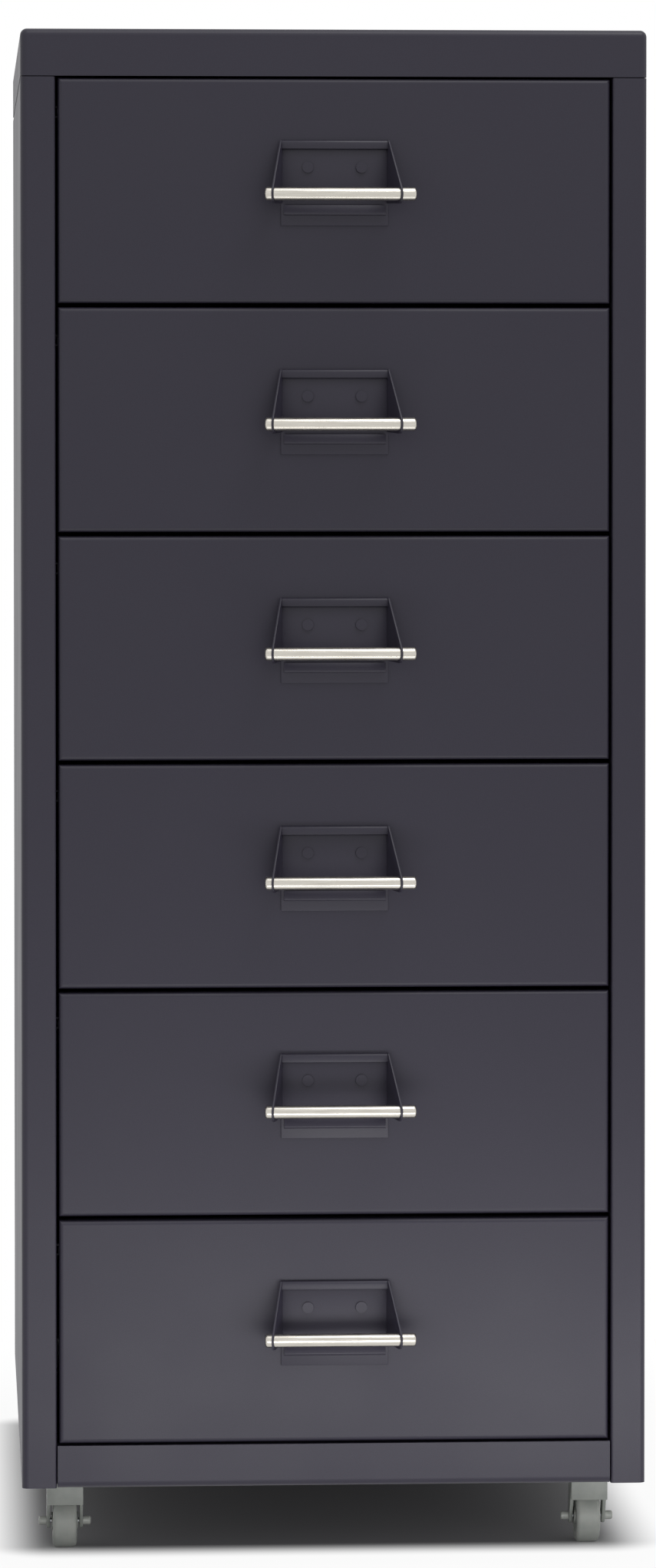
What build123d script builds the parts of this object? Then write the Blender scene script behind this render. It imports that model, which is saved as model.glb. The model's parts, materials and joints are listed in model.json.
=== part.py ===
from build123d import *
import math
import os

# A narrow steel cabinet with a column of equal drawers, on four swivel casters.
# Frame: the origin is on the floor under the middle of the bounding box, +Z is up, the drawers open
# towards -Y, and +X is on the right as seen from the front. Every length is in millimetres.

# ------------------------------------------------------------------ driving dimensions

# Body
body_width = 280.0
body_depth = 406.0  # front of the stiles to the back of the rear flanges
body_sheet = 0.7  # sheet thickness of the carcass
fascia_height = 21.0  # front edge of the top panel
rail_height = 19.0  # front edge of the base panel
stile_width = 15.5  # front edge of a side panel
stile_return = 12.0  # fold that lines the drawer opening
outer_bend = 3.0  # outside radius of the large corners
narrow_bend = 1.4  # outside radius of the small return folds
seam = 0.4  # open line between two panels that meet edge to edge
seat_gap = 0.1  # between two panels that slip into each other
rear_flange = 14.0  # fold of a side panel that the back panel is screwed to
top_skirt_return = 9.0  # fold under the lower edge of the fascia
rail_return = 9.0  # fold at the upper edge of the rail
joggle_height = 1.6  # sloped step that takes a side panel's top edge inside the top panel
back_field_margin = 26.0  # plain border round the sunk field of the back panel
back_field_depth = 1.6

# Drawers
drawer_count = 6
drawer_pitch = 102.0
drawer_gap = 2.0  # open line between two drawer fronts
front_side_gap = 1.2  # open line between a drawer front and a stile
front_depth = 10.0
front_sheet = 0.7
front_bend = 2.0
front_lip = 15.0  # return lips behind the front, which carry the tray
tray_sheet = 0.6
tray_bend = 1.6
tray_length = 383.0
tray_height = 84.0
tray_lift = 3.0  # lower edge of the front to the underside of the tray
flange_width = 6.0  # top flange of the tray's side wall
flange_drop = 3.0  # down-turned edge of that flange
flange_gap = 1.0  # between the flange and the fold of the stile
hem_height = 7.0  # doubled edge of the tray's end walls
ear_length = 12.0
ear_reach = 10.5  # how far the rear ear stands out past the flange
drawer_travel = 300.0

# Runners
runner_sheet = 0.8
runner_bend = 1.5
runner_gap = 1.0  # between a runner and the tray's side wall
slide_gap = 0.3  # above and below the flange in its channel
runner_front_gap = 1.0  # behind the fold of the stile
runner_rear_gap = 5.0  # in front of the back panel
stop_thickness = 1.5
stop_clearance = 0.5
stop_side_gap = 3.0  # between the stop tab and the flange that passes it

# Label holder and handle bar
holder_width = 48.0
holder_sheet = 0.9
holder_bend = 1.3  # outside radius of the folds of the two lips
holder_drop = 27.5  # upper edge of the drawer front to the top of the holder
holder_height = 38.0
holder_top_depth = 2.6  # how far the holder stands out at its top
top_lip_height = 3.8
bottom_lip_height = 4.5
bottom_lip_depth = 3.6
bottom_lip_lean = 1.0  # how much nearer to the drawer its upper edge is
bottom_lip_width = 45.5
bottom_lip_rise = 4.6  # lower edge of the holder to the underside of the bottom lip
arm_lean_degrees = 14.0  # how far each arm leans outwards
arm_root_height = 28.0  # root of an arm, down from the top of the holder
arm_eye_radius = 4.2
bar_radius = 3.0
bar_length = 67.5
bar_end_round = 1.2
bar_hole_gap = 0.05
bar_drop = 51.9  # upper edge of the drawer front to the middle of the bar
bar_stand_off = 17.5  # drawer front to the middle of the bar
bar_side_offset = 1.7  # middle of the bar to the right of the middle of its drawer

# Rivets and screws
rivet_radius = 1.55
rivet_hole_gap = 0.05
rivet_head_radius = 3.0
rivet_head_height = 1.1
rivet_tail_radius = 2.5
rivet_tail_height = 0.9
tray_rivet_edge = 2.0  # between a rivet's head and the fold or the doubled edge next to it
holder_rivet_offset = 12.0  # sideways from the middle
holder_rivet_drop = 12.0  # below the top of the holder
screw_radius = 1.9
screw_hole_gap = 0.15
screw_length = 8.0
screw_head_radius = 3.8
screw_head_height = 2.0
screw_recess_width = 0.9
screw_recess_length = 4.2
screw_recess_depth = 1.1
screw_edge = 7.0  # middle of a screw to the edge of the flange that it holds
side_screw_count = 4
end_screw_count = 3
side_screw_inset = 60.0  # first and last screw of a side, from the ends of the rear flange
end_screw_row_width = 180.0  # first to last screw of the top or bottom row
head_round_share = 2 / 3  # rounding of a screw's or rivet's head, as a share of the head's height

# Casters
wheel_radius = 12.0
wheel_width = 11.0
wheel_edge_round = 2.0
wheel_hub_radius = 4.0
wheel_hub_height = 0.5
wheel_dish_depth = 1.4
wheel_dish_rim = 2.6  # rim of the wheel outside its dished side
axle_radius = 1.2
axle_gap = 0.05  # running clearance of the wheel on its axle
fork_wheel_gap = 1.2
fork_arm_thickness = 1.6
fork_eye_radius = 3.4
fork_head_radius = 11.0
fork_head_height = 6.0
fork_head_round = 1.0
fork_web_thickness = 1.4
fork_web_height = 10.0
fork_web_gap = 0.3  # between the web and the foot of the stem
fork_trail = 8.0  # stem to axle, towards the back
axle_cap_radius = 2.0
axle_cap_length = 3.7
axle_cap_round = 0.9
wheel_top_gap = 4.6  # between the wheel and the foot of the stem
stem_radius = 4.0
stem_gap = 0.05  # running clearance of the fork on its stem
stem_foot_radius = 5.0
stem_foot_height = 1.6
stem_collar_radius = 7.0
stem_collar_height = 1.4
stem_tip_round = 1.0
swivel_gap = 0.2  # above and below the fork's head
socket_height = 16.0
socket_wall = 2.0
socket_flange_radius = 12.0
socket_flange_height = 1.5
socket_fit_gap = 0.03
caster_side_inset = 20.0  # side of the body to the stem
caster_end_inset = 58.0  # front or back of the body to the stem

# ------------------------------------------------------------------ places that follow

arm_lean = math.radians(arm_lean_degrees)
handle_reach = bar_stand_off + arm_eye_radius * math.cos(arm_lean) + holder_sheet * math.sin(arm_lean)
front_y = (handle_reach - screw_head_height - body_depth) / 2
back_y = front_y + body_depth
half_width = body_width / 2
wall_inner_x = half_width - body_sheet
opening_half = half_width - stile_width

axle_z = wheel_radius
stem_foot_z = 2 * wheel_radius + wheel_top_gap
fork_head_z = stem_foot_z + stem_foot_height + swivel_gap
stem_collar_z = fork_head_z + fork_head_height + swivel_gap
body_z = stem_collar_z + stem_collar_height
opening_z = body_z + rail_height
fascia_z = opening_z + drawer_count * drawer_pitch
top_z = fascia_z + fascia_height

back_face_y = back_y - body_sheet  # inside of the rear flanges, where the back panel lies
back_inner_y = back_face_y - body_sheet
base_floor_z = body_z + body_sheet

front_half = opening_half - front_side_gap
tray_y = front_y + front_depth
tray_end_y = tray_y + tray_length
flange_half = opening_half - flange_gap
tray_half = flange_half - flange_width
runner_inner_x = tray_half + runner_gap
runner_y = front_y + stile_return + runner_front_gap
runner_end_y = back_inner_y - runner_rear_gap

stem_x = half_width - caster_side_inset
stem_ys = {"front": front_y + caster_end_inset, "rear": back_y - caster_end_inset}
stem_sides = {"left": -stem_x, "right": stem_x}
fork_inner_x = wheel_width / 2 + fork_wheel_gap
fork_outer_x = fork_inner_x + fork_arm_thickness
cap_end_x = fork_outer_x + axle_cap_length
seat_screw_x = half_width - screw_edge

AXIS_BY_NAME = {"x": Axis.X, "y": Axis.Y, "z": Axis.Z}
TINY = 0.01


# ------------------------------------------------------------------ helpers


def block(low, high):
    """Box between two opposite corners."""
    size = [b - a for a, b in zip(low, high)]
    middle = [(a + b) / 2 for a, b in zip(low, high)]
    return Pos(*middle) * Box(*size)


def rod(radius, start, end):
    """Round rod between two points on a line along X, Y or Z."""
    path = Vector(*end) - Vector(*start)
    return extrude(Plane(origin=start, z_dir=path.normalized()) * Circle(radius), amount=path.length)


def mirrored(shape):
    """The same shape on the other side of the cabinet."""
    return mirror(shape, about=Plane.YZ)


def group(solids):
    """Several separate solids that share one name."""
    return Compound(children=list(solids))


def edges_at(shape, axis, place):
    """Edges whose middle lies at a place along an axis."""
    return shape.edges().filter_by_position(AXIS_BY_NAME[axis], place - TINY, place + TINY)


def offset_left(points, distance):
    """Open line of straight runs, moved to its own left by a distance."""
    runs = [(Vector(*b) - Vector(*a)).normalized() for a, b in zip(points, points[1:])]
    lefts = [Vector(-run.Y, run.X) for run in runs]
    moved = [Vector(*points[0]) + lefts[0] * distance]
    for point, before, after in zip(points[1:-1], lefts, lefts[1:]):
        middle = before + after
        moved.append(Vector(*point) + middle * (distance * 2 / middle.length**2))
    moved.append(Vector(*points[-1]) + lefts[-1] * distance)
    return moved


def folded_sheet(plane, points, bends, thickness, length):
    """Sheet with folds that all turn left. The points run along its outer face in the plane."""
    outer = FilletPolyline(*points, radius=bends)
    inner = FilletPolyline(*offset_left(points, thickness), radius=[bend - thickness for bend in bends])
    ends = [Line(outer @ 0, inner @ 0), Line(outer @ 1, inner @ 1)]
    return extrude(plane * make_face([outer, inner, *ends]), amount=length)


def pan(low, high, axis, open_end, wall, bend, corner=0.0):
    """Five-sided sheet pan between two corners.

    The pan is open at the high (+1) or low (-1) end of an axis. The bend is the outside radius round
    its closed face, and the corner is the outside radius of the edges that run along the axis.
    """
    index = "xyz".index(axis)
    inner_low = [value + wall for value in low]
    inner_high = [value - wall for value in high]
    closed = low[index]
    if open_end > 0:
        inner_high[index] = high[index] + wall
    else:
        closed = high[index]
        inner_low[index] = low[index] - wall
    shells = []
    for corner_low, corner_high, inset in ((low, high, 0.0), (inner_low, inner_high, wall)):
        shell = block(corner_low, corner_high)
        if corner > inset:
            shell = fillet(shell.edges().filter_by(AXIS_BY_NAME[axis]), corner - inset)
        floor = closed + inset * open_end
        shells.append(fillet(edges_at(shell, axis, floor), bend - inset))
    return shells[0] - shells[1]


def tangent_point(start, centre, radius, side):
    """Where a line from start touches a circle, with the circle on its left (1) or right (-1)."""
    to_centre = centre - start
    heading = math.atan2(to_centre.Y, to_centre.X) - side * math.asin(radius / to_centre.length)
    reach = math.sqrt(to_centre.length**2 - radius**2)
    return start + Vector(math.cos(heading), math.sin(heading)) * reach


def eye_plate(corners, centre, radius):
    """Flat outline that runs from its corners, listed anticlockwise, into a round eye."""
    leave = tangent_point(corners[-1], centre, radius, 1)
    back = tangent_point(corners[0], centre, radius, -1)
    away = centre - (corners[0] + corners[-1]) / 2
    arc = ThreePointArc(leave, centre + away.normalized() * radius, back)
    return make_face([Polyline(back, *corners, leave), arc])


def drawer_top(number):
    """Height of the upper edge of a drawer front, counted from the top drawer."""
    return fascia_z - number * drawer_pitch + drawer_pitch - drawer_gap / 2


def tray_top(number):
    """Height of the top flanges of a drawer's tray."""
    return tray_floor(number) + tray_height


def tray_floor(number):
    """Height of the underside of a drawer's tray."""
    return drawer_top(number) - drawer_pitch + drawer_gap + tray_lift


# ------------------------------------------------------------------ cabinet body


def top_panel():
    """Cap with a deep front fascia, and skirts at the sides and the back."""
    low = (-half_width, front_y, fascia_z)
    high = (half_width, back_y, top_z)
    cap = pan(low, high, "z", -1, body_sheet, outer_bend, corner=outer_bend)
    fold_half = half_width - outer_bend
    fold_low = (-fold_half, front_y + body_sheet, fascia_z)
    fold_high = (fold_half, front_y + top_skirt_return, fascia_z + body_sheet)
    cap += block(fold_low, fold_high)
    return cap - screw_holes(top_screws())


def side_panel():
    """Right side: wall, front stile, fold round the opening, rear flange and joggled top edge."""
    height = fascia_z - seam - joggle_height - body_z
    plan = [
        (opening_half, front_y + stile_return),
        (opening_half, front_y),
        (half_width, front_y),
        (half_width, back_y),
        (half_width - rear_flange, back_y),
    ]
    bends = [narrow_bend, outer_bend, outer_bend]
    panel = folded_sheet(Plane.XY.offset(body_z), plan, bends, body_sheet, height)
    foot_z = body_z + height
    stile_plan = plan[:3] + [(half_width, front_y + outer_bend + body_sheet)]
    panel += folded_sheet(Plane.XY.offset(foot_z), stile_plan, bends[:2], body_sheet, joggle_height)
    step = body_sheet + seat_gap
    tongue_z = foot_z + joggle_height
    tip_z = top_z - outer_bend - seam
    outline = [
        (half_width, foot_z), (half_width - step, tongue_z), (half_width - step, tip_z),
        (half_width - step - body_sheet, tip_z), (half_width - step - body_sheet, tongue_z),
        (wall_inner_x, foot_z),
    ]
    tongue_y = front_y + outer_bend + body_sheet
    tongue_end_y = back_y - outer_bend - body_sheet
    face = Plane.XZ.offset(-tongue_end_y) * make_face(Polyline(*outline, close=True))
    panel += extrude(face, amount=tongue_end_y - tongue_y)
    return panel - screw_holes(side_screws())


def back_panel():
    """Flat sheet inside the rear flanges, with a shallow sunk field for stiffness."""
    half = half_width - outer_bend - seam
    low_z = body_z + seam
    high_z = top_z - outer_bend - seam
    field_half = half_width - rear_flange - back_field_margin
    field_low = (-field_half, back_inner_y - back_field_depth, low_z + back_field_margin)
    field_high = (field_half, back_face_y, high_z - back_field_margin)
    sheet = block((-half, back_inner_y, low_z), (half, back_face_y, high_z))
    sheet -= block(field_low, field_high)
    sheet += pan(field_low, field_high, "y", 1, body_sheet, narrow_bend)
    return sheet - screw_holes(side_screws()) - screw_holes(top_screws()) - screw_holes(base_screws())


def base_panel():
    """Pan that closes the body below. Its front edge is the rail, which fits between the stiles."""
    nose_half = opening_half - seam
    notch_y = front_y + stile_return + seam
    shells = []
    for inset in (0.0, body_sheet):
        low_z = body_z + inset
        high_z = opening_z + inset
        nose_x = nose_half - inset
        main_x = wall_inner_x - inset
        rear_y = back_inner_y - inset
        nose = block((-nose_x, front_y + inset, low_z), (nose_x, notch_y + outer_bend, high_z))
        nose_edges = edges_at(nose, "y", front_y + inset)
        nose = fillet(nose_edges.filter_by_position(Axis.Z, low_z - TINY, low_z + TINY), outer_bend - inset)
        main = block((-main_x, notch_y + inset, low_z), (main_x, rear_y, high_z))
        rear_corners = edges_at(main, "y", rear_y).filter_by(Axis.Z)
        main = fillet(rear_corners, outer_bend - body_sheet - inset)
        shells.append(nose + main)
    panel = shells[0] - shells[1]
    fold_low = (-nose_half + body_sheet, front_y + body_sheet, opening_z - body_sheet)
    panel += block(fold_low, (nose_half - body_sheet, front_y + rail_return, opening_z))
    for x, y in stem_places().values():
        panel -= rod(stem_radius + stem_gap, (x, y, body_z - TINY), (x, y, base_floor_z + TINY))
    return panel - screw_holes(base_screws())


def drawer_runners():
    """Right-hand C channels, one for each drawer, each with a stop tab bent across it."""
    channels = []
    for number in range(1, drawer_count + 1):
        floor_z = tray_top(number) - flange_drop - slide_gap
        ceiling_z = tray_top(number) + slide_gap
        section = [
            (runner_inner_x, floor_z - runner_sheet),
            (wall_inner_x, floor_z - runner_sheet),
            (wall_inner_x, ceiling_z + runner_sheet),
            (runner_inner_x, ceiling_z + runner_sheet),
        ]
        plane = Plane.XZ.offset(-runner_end_y)
        bends = [runner_bend, runner_bend]
        channel = folded_sheet(plane, section, bends, runner_sheet, runner_end_y - runner_y)
        stop_y = tray_end_y - ear_length - drawer_travel - stop_clearance
        channel += block(
            (flange_half + stop_side_gap, stop_y - stop_thickness, floor_z - runner_sheet / 2),
            (wall_inner_x - runner_sheet / 2, stop_y, ceiling_z + runner_sheet / 2),
        )
        channels.append(channel)
    return channels


def stem_places():
    """Caster name to the place of its stem."""
    return {
        f"{end}_{side}": (x, y)
        for end, y in stem_ys.items()
        for side, x in stem_sides.items()
    }


def caster_socket(x, y):
    """Flanged tube that stands on the base panel and grips a stem."""
    flange_top = base_floor_z + socket_flange_height
    tube_top = base_floor_z + socket_height
    socket = rod(socket_flange_radius, (x, y, base_floor_z), (x, y, flange_top))
    socket += rod(stem_radius + socket_wall, (x, y, base_floor_z), (x, y, tube_top))
    return socket - rod(stem_radius + socket_fit_gap, (x, y, base_floor_z - TINY), (x, y, tube_top + TINY))


def caster_stem(x, y):
    """Swivel pin: foot under the fork's head, collar under the body, shank up through the socket."""
    tip_z = base_floor_z + socket_height
    shank = rod(stem_radius, (x, y, stem_foot_z), (x, y, tip_z))
    shank = fillet(edges_at(shank, "z", tip_z), stem_tip_round)
    shank += rod(stem_foot_radius, (x, y, stem_foot_z), (x, y, stem_foot_z + stem_foot_height))
    shank += rod(stem_collar_radius, (x, y, stem_collar_z), (x, y, body_z))
    return shank


# ------------------------------------------------------------------ screws and rivets


def side_screws():
    """Places of the screws through the rear flanges, both sides."""
    flange_top = fascia_z - seam - joggle_height
    first_z = body_z + side_screw_inset
    pitch = (flange_top - side_screw_inset - first_z) / (side_screw_count - 1)
    heights = [first_z + pitch * step for step in range(side_screw_count)]
    return [(side * seat_screw_x, z) for side in (-1, 1) for z in heights]


def end_screw_row(z):
    """Places of one row of screws across the back, at a height."""
    steps = range(end_screw_count)
    return [(end_screw_row_width * (step / (end_screw_count - 1) - 1 / 2), z) for step in steps]


def top_screws():
    """Places of the screws through the top panel's rear skirt."""
    return end_screw_row(fascia_z + fascia_height / 2)


def base_screws():
    """Places of the screws through the back panel into the base panel."""
    return end_screw_row(body_z + rail_height / 2)


def screw_holes(places):
    """Clearance holes for screws along Y."""
    radius = screw_radius + screw_hole_gap
    start_y = back_y - screw_length
    return group([rod(radius, (x, start_y, z), (x, back_y + TINY, z)) for x, z in places])


def screw(x, seat_y, z):
    """Pan head screw with a cross recess. Its head lies on a seat and looks towards the back."""
    head_y = seat_y + screw_head_height
    head = rod(screw_head_radius, (x, seat_y, z), (x, head_y, z))
    head = fillet(edges_at(head, "y", head_y), screw_head_height * head_round_share)
    shank = rod(screw_radius, (x, seat_y - screw_length, z), (x, seat_y, z))
    half_width_of_slot = screw_recess_width / 2
    half_length = screw_recess_length / 2
    for reach_x, reach_z in ((half_width_of_slot, half_length), (half_length, half_width_of_slot)):
        low = (x - reach_x, head_y - screw_recess_depth, z - reach_z)
        head -= block(low, (x + reach_x, head_y, z + reach_z))
    return head + shank


def cabinet_screws():
    """Every screw of the back. The bottom row lies on the back panel, the others on the flanges."""
    screws = [screw(x, back_y, z) for x, z in side_screws() + top_screws()]
    screws += [screw(x, back_face_y, z) for x, z in base_screws()]
    return screws


def rivet(x, head_y, tail_y, z, head_radius, head_height):
    """Rivet along Y. The head stands out behind head_y, the tail in front of tail_y."""
    shank = rod(rivet_radius, (x, tail_y - TINY, z), (x, head_y + TINY, z))
    head = rod(head_radius, (x, head_y, z), (x, head_y + head_height, z))
    head = fillet(edges_at(head, "y", head_y + head_height), head_height * head_round_share)
    tail = rod(rivet_tail_radius, (x, tail_y - rivet_tail_height, z), (x, tail_y, z))
    return shank + head + tail


def rivet_hole(x, z, start_y, end_y):
    """Clearance hole for a rivet along Y."""
    return rod(rivet_radius + rivet_hole_gap, (x, start_y - TINY, z), (x, end_y + TINY, z))


# ------------------------------------------------------------------ one drawer


def tray_rivet_places(number):
    """Where the tray's front wall is riveted to the lips of the drawer front."""
    x = (tray_half + front_half - front_lip) / 2
    inset = rivet_head_radius + tray_rivet_edge
    low_z = tray_floor(number) + tray_bend + inset
    high_z = tray_top(number) - hem_height - inset
    return [(side * x, z) for side in (-1, 1) for z in (low_z, high_z)]


def holder_rivet_places(number):
    """Where the label holder is riveted to the drawer front."""
    z = drawer_top(number) - holder_drop - holder_rivet_drop
    return [(side * holder_rivet_offset, z) for side in (-1, 1)]


def drawer_front(number):
    """Shallow pan with a return lip along each side."""
    top = drawer_top(number)
    low = (-front_half, front_y, top - drawer_pitch + drawer_gap)
    high = (front_half, tray_y, top)
    front = pan(low, high, "y", 1, front_sheet, front_bend)
    for side in (-1, 1):
        edge = side * (front_half - front_sheet)
        inner = side * (front_half - front_lip)
        lip_low = (min(edge, inner), tray_y - front_sheet, low[2] + front_sheet)
        front += block(lip_low, (max(edge, inner), tray_y, top - front_sheet))
    for x, z in tray_rivet_places(number):
        front -= rivet_hole(x, z, tray_y - front_sheet, tray_y)
    for x, z in holder_rivet_places(number):
        front -= rivet_hole(x, z, front_y, front_y + front_sheet)
    return front


def drawer_tray(number):
    """Folded box. Its side walls end in down-turned flanges, with an ear at each rear end."""
    floor_z = tray_floor(number)
    top = tray_top(number)
    low = (-tray_half, tray_y, floor_z)
    tray = pan(low, (tray_half, tray_end_y, top), "z", 1, tray_sheet, tray_bend, corner=tray_bend)
    root_x = tray_half - tray_sheet
    edge_x = flange_half - tray_sheet
    start_y = tray_y + tray_bend
    high = (flange_half, tray_end_y, top)
    flange = block((root_x, start_y, top - tray_sheet), high)
    flange += block((edge_x, start_y, top - flange_drop), high)
    flange -= block((root_x, tray_end_y - tray_bend, top - tray_sheet), (tray_half, tray_end_y, top))
    ear_low = (edge_x, tray_end_y - ear_length, top - tray_sheet)
    flange += block(ear_low, (flange_half + ear_reach, tray_end_y, top))
    tray += flange
    tray += mirrored(flange)
    hem_half = tray_half - tray_bend
    for outer_y, step in ((tray_y, 1), (tray_end_y, -1)):
        wall_y = outer_y + step * tray_sheet
        hem_y = outer_y + step * 2 * tray_sheet
        low = (-hem_half, min(wall_y, hem_y), top - hem_height)
        tray += block(low, (hem_half, max(wall_y, hem_y), top))
    for x, z in tray_rivet_places(number):
        tray -= rivet_hole(x, z, tray_y, tray_y + tray_sheet)
    return tray


def holder_arm(number):
    """Right arm of the label holder: a wing that leans outwards and reaches forwards to the bar."""
    top = drawer_top(number) - holder_drop
    forwards = Vector(math.sin(arm_lean), -math.cos(arm_lean), 0)
    inwards = Vector(-math.cos(arm_lean), -math.sin(arm_lean), 0)
    outer_face = Plane(origin=(holder_width / 2, front_y, 0), x_dir=forwards, z_dir=inwards)
    eye = Vector(bar_stand_off / math.cos(arm_lean), drawer_top(number) - bar_drop)
    corners = [Vector(holder_top_depth, top), Vector(0, top), Vector(0, top - arm_root_height)]
    return extrude(outer_face * eye_plate(corners, eye, arm_eye_radius), amount=holder_sheet)


def label_holder(number):
    """Back plate with a top lip, a bottom lip that the card stands in, and the two arms."""
    top = drawer_top(number) - holder_drop
    bottom = top - holder_height
    half = holder_width / 2
    edge_y = front_y - holder_top_depth
    top_lip = [(front_y, top), (edge_y, top), (edge_y, top - top_lip_height)]
    foot_y = front_y - bottom_lip_depth
    lip_z = bottom + bottom_lip_rise
    bottom_lip = [(foot_y + bottom_lip_lean, lip_z + bottom_lip_height), (foot_y, lip_z), (front_y, lip_z)]
    holder = block((-half, front_y - holder_sheet, bottom), (half, front_y, top))
    for outline, width in ((top_lip, holder_width), (bottom_lip, bottom_lip_width)):
        plane = Plane.YZ.offset(-width / 2)
        holder += folded_sheet(plane, outline, [holder_bend], holder_sheet, width)
    arm = holder_arm(number)
    holder += arm
    holder += mirrored(arm)
    holder -= rod(bar_radius + bar_hole_gap, *bar_ends(number))
    for x, z in holder_rivet_places(number):
        holder -= rivet_hole(x, z, front_y - holder_sheet, front_y)
    return holder


def bar_ends(number):
    """Left and right end of a handle bar's middle line."""
    y = front_y - bar_stand_off
    z = drawer_top(number) - bar_drop
    return [(bar_side_offset + side * bar_length / 2, y, z) for side in (-1, 1)]


def handle_bar(number):
    """Round bar through both arms, with rounded ends."""
    left, right = bar_ends(number)
    bar = rod(bar_radius, left, right)
    return fillet(edges_at(bar, "x", left[0]) + edges_at(bar, "x", right[0]), bar_end_round)


def drawer_rivets(number):
    """Rivets of one drawer: four through the tray's front wall, two through the label holder."""
    rivets = [
        rivet(x, tray_y + tray_sheet, tray_y - front_sheet, z, rivet_head_radius, rivet_head_height)
        for x, z in tray_rivet_places(number)
    ]
    rivets += [
        rivet(x, front_y + front_sheet, front_y - holder_sheet, z, rivet_tail_radius, rivet_tail_height)
        for x, z in holder_rivet_places(number)
    ]
    return rivets


# ------------------------------------------------------------------ one caster


def fork(x, y):
    """Round head on the stem, two arms down to the axle, and a web between them at the front."""
    head_top = fork_head_z + fork_head_height
    head = rod(fork_head_radius, (x, y, fork_head_z), (x, y, head_top))
    head = fillet(edges_at(head, "z", fork_head_z) + edges_at(head, "z", head_top), fork_head_round)
    root_half = stem_foot_radius + fork_web_gap + fork_web_thickness
    root_z = fork_head_z + fork_head_round
    corners = [Vector(y + root_half, root_z), Vector(y - root_half, root_z)]
    side = eye_plate(corners, Vector(y + fork_trail, axle_z), fork_eye_radius)
    piece = head
    for low_x in (x - fork_outer_x, x + fork_inner_x):
        piece += extrude(Plane.YZ.offset(low_x) * side, amount=fork_arm_thickness)
    web_y = y - root_half
    piece += block(
        (x - fork_outer_x, web_y, root_z - fork_web_height),
        (x + fork_outer_x, web_y + fork_web_thickness, root_z),
    )
    piece -= rod(stem_radius + stem_gap, (x, y, fork_head_z - TINY), (x, y, head_top + TINY))
    axle_y = y + fork_trail
    reach = fork_outer_x + TINY
    return piece - rod(axle_radius + axle_gap, (x - reach, axle_y, axle_z), (x + reach, axle_y, axle_z))


def axle(x, y):
    """Plain pin through the fork and the wheel, and into both caps."""
    reach = fork_outer_x + axle_cap_length / 2
    return rod(axle_radius, (x - reach, y + fork_trail, axle_z), (x + reach, y + fork_trail, axle_z))


def axle_caps(x, y):
    """Domed caps pressed on both ends of the axle."""
    axle_y = y + fork_trail
    caps = []
    for side in (-1, 1):
        seat_x = x + side * fork_outer_x
        end_x = x + side * cap_end_x
        cap = rod(axle_cap_radius, (seat_x, axle_y, axle_z), (end_x, axle_y, axle_z))
        cap = fillet(edges_at(cap, "x", end_x), axle_cap_round)
        caps.append(cap - axle(x, y))
    return caps


def wheel(x, y):
    """Solid wheel with rounded tread edges, dished sides and a raised hub."""
    axle_y = y + fork_trail
    half = wheel_width / 2
    body = rod(wheel_radius, (x - half, axle_y, axle_z), (x + half, axle_y, axle_z))
    body = fillet(edges_at(body, "x", x - half) + edges_at(body, "x", x + half), wheel_edge_round)
    dish_radius = wheel_radius - wheel_edge_round - wheel_dish_rim
    for side in (-1, 1):
        floor_x = x + side * (half - wheel_dish_depth)
        face_x = x + side * half
        hub_x = face_x + side * wheel_hub_height
        body -= rod(dish_radius, (floor_x, axle_y, axle_z), (face_x, axle_y, axle_z))
        body += rod(wheel_hub_radius, (floor_x, axle_y, axle_z), (hub_x, axle_y, axle_z))
    reach = half + wheel_hub_height + TINY
    return body - rod(axle_radius + axle_gap, (x - reach, axle_y, axle_z), (x + reach, axle_y, axle_z))


# ------------------------------------------------------------------ every node


def cabinet_nodes():
    """Node name to shape for the body of the cabinet."""
    panel = side_panel()
    runners = drawer_runners()
    places = stem_places().values()
    return {
        "top_panel": top_panel(),
        "left_side_panel": mirrored(panel),
        "right_side_panel": panel,
        "back_panel": back_panel(),
        "base_panel": base_panel(),
        "left_drawer_runners": group([mirrored(channel) for channel in runners]),
        "right_drawer_runners": group(runners),
        "caster_sockets": group([caster_socket(x, y) for x, y in places]),
        "caster_stems": group([caster_stem(x, y) for x, y in places]),
        "cabinet_screws": group(cabinet_screws()),
    }


def drawer_nodes(number):
    """Node name to shape for one drawer."""
    name = f"drawer_{number}"
    return {
        f"{name}_front": drawer_front(number),
        f"{name}_tray": drawer_tray(number),
        f"{name}_label_holder": label_holder(number),
        f"{name}_handle_bar": handle_bar(number),
        f"{name}_rivets": group(drawer_rivets(number)),
    }


def caster_nodes(place, x, y):
    """Node name to shape for one caster."""
    name = f"{place}_caster"
    return {
        f"{name}_fork": fork(x, y),
        f"{name}_axle": axle(x, y),
        f"{name}_axle_caps": group(axle_caps(x, y)),
        f"{name}_wheel": wheel(x, y),
    }


def all_nodes():
    """Node name to shape for the whole cabinet."""
    nodes = cabinet_nodes()
    for number in range(1, drawer_count + 1):
        nodes.update(drawer_nodes(number))
    for place, (x, y) in stem_places().items():
        nodes.update(caster_nodes(place, x, y))
    return nodes


os.makedirs("parts", exist_ok=True)
for node_name, node_shape in all_nodes().items():
    export_step(node_shape, f"parts/{node_name}.step")
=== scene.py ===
# %% [markdown]
# # Dressing a small drawer cabinet
# The real thing is a narrow cabinet of folded sheet steel, powder coated a dark violet charcoal, with six
# equal drawers, thin nickel pulls and four little plastic casters. Its measured frame already exists, piece
# by piece, so nothing here decides a size. This lesson gives every surface its finish, and models again,
# with softer edges, the small pieces that the eye goes to first.

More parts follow.
